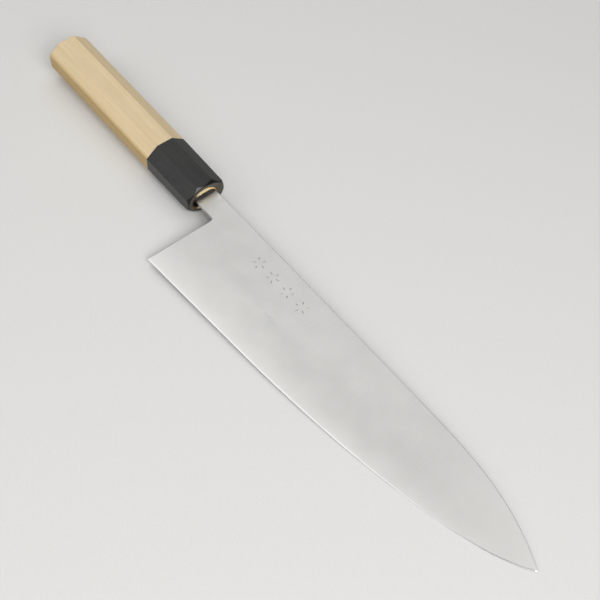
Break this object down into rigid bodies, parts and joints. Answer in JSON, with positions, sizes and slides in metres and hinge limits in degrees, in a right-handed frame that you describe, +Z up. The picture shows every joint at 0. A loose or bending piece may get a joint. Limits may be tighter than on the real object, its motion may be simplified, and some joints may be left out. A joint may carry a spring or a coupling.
{
  "type": "chef knife",
  "caption": "Japanese chef knife: tall convex-ground steel blade with a bare neck, tapered octagonal wooden handle and a black horn ferrule.",
  "frame": {"origin": "centre of the underside of the knife's box, as it lies at rest on a level surface", "axes": "+X from the butt of the handle towards the tip of the blade, +Y towards the spine (the edge faces -Y), +Z up, across the blade. The handle's own axis is pitched 1.85 degrees tip down from +X, and the blade is rolled 6.27 degrees edge down, because that is how the knife comes to rest on the lower ridge of its ferrule and the belly of its edge"},
  "size_m": [0.385, 0.0596, 0.0243],
  "materials": {
    "blade_steel": "fine satin, hairlines from spine to edge, brighter towards the edge",
    "magnolia_wood": "bare sanded magnolia, pale and close grained",
    "buffalo_horn": "polished black buffalo horn, greyer on its turned front face",
    "bedding_resin": "dark brown set resin"
  },
  "bodies": {
    "root": {"blade": "blade_steel", "handle_body": "magnolia_wood", "ferrule": "buffalo_horn", "tang_bedding": "bedding_resin"}
  },
  "joints": []
}
